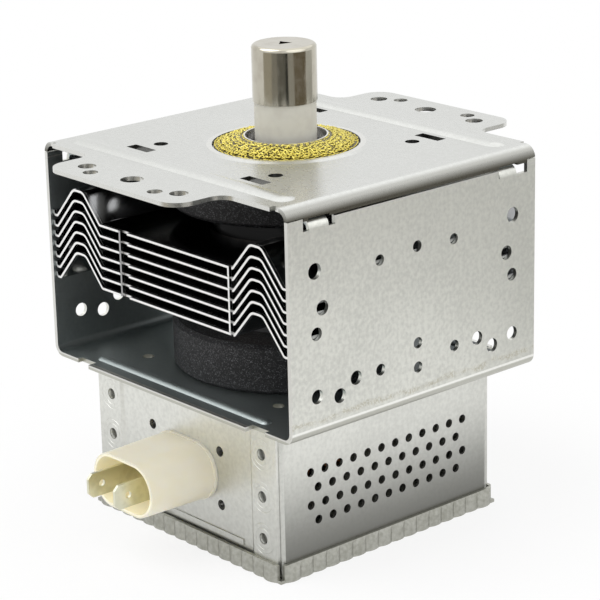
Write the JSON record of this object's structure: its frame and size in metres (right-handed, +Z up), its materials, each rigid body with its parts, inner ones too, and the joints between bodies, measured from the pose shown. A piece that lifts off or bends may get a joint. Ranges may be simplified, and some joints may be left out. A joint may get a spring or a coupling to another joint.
{
  "type": "magnetron",
  "caption": "Microwave oven magnetron: finned vacuum tube between ring magnets in a folded steel yoke, with capped antenna, mesh gasket, shielded filter box and supply plug.",
  "frame": {"origin": "on the antenna axis at the underside of the filter box cover", "axes": "+Z up along the antenna, -Y towards the supply plug and one open face of the yoke"},
  "size_m": [0.095, 0.1201, 0.124],
  "materials": {
    "bracket_steel": "satin zinc coat",
    "plate_steel": "smooth zinc coat",
    "box_steel": "satin zinc coat",
    "cover_steel": "dull zinc coat",
    "seat_steel": "bright plated",
    "fin_aluminium": "rolled mirror",
    "ferrite": "ground matte",
    "brass_mesh": "knitted wire",
    "copper": "bare copper",
    "tube_iron": "drawn plated iron",
    "ceramic": "unglazed",
    "cap_nickel": "bright nickel",
    "tungsten": "sintered",
    "tab_metal": "tinned",
    "coil_wire": "enamelled copper",
    "housing_plastic": "moulded cream",
    "block_resin": "cast resin"
  },
  "bodies": {
    "root": {"yoke_bracket": "bracket_steel", "yoke_top_plate": "plate_steel", "gasket_seat": "seat_steel", "mesh_gasket": "brass_mesh", "upper_magnet": "ferrite", "lower_magnet": "ferrite", "anode_cylinder": "copper", "anode_vanes": "copper", "strap_rings": "copper", "upper_pole_piece": "tube_iron", "lower_pole_piece": "tube_iron", "antenna_seal_can": "tube_iron", "stem_seal_can": "tube_iron", "antenna_ceramic": "ceramic", "stem_ceramic": "ceramic", "antenna_lead": "copper", "exhaust_tube": "copper", "antenna_cap": "cap_nickel", "filament": "tungsten", "upper_end_hat": "tungsten", "lower_end_hat": "tungsten", "centre_lead": "tungsten", "side_lead": "tungsten", "stem_terminal_1": "tab_metal", "stem_terminal_2": "tab_metal", "choke_coil_1": "coil_wire", "choke_coil_2": "coil_wire", "ferrite_core_1": "ferrite", "ferrite_core_2": "ferrite", "capacitor_housing": "housing_plastic", "capacitor_plate": "seat_steel", "capacitor_block": "block_resin", "terminal_tab_1": "tab_metal", "terminal_tab_2": "tab_metal", "filter_box": "box_steel", "filter_box_cover": "cover_steel", "fin_1": "fin_aluminium", "fin_2": "fin_aluminium", "fin_3": "fin_aluminium", "fin_4": "fin_aluminium", "fin_5": "fin_aluminium", "fin_6": "fin_aluminium", "fin_7": "fin_aluminium"}
  },
  "joints": []
}
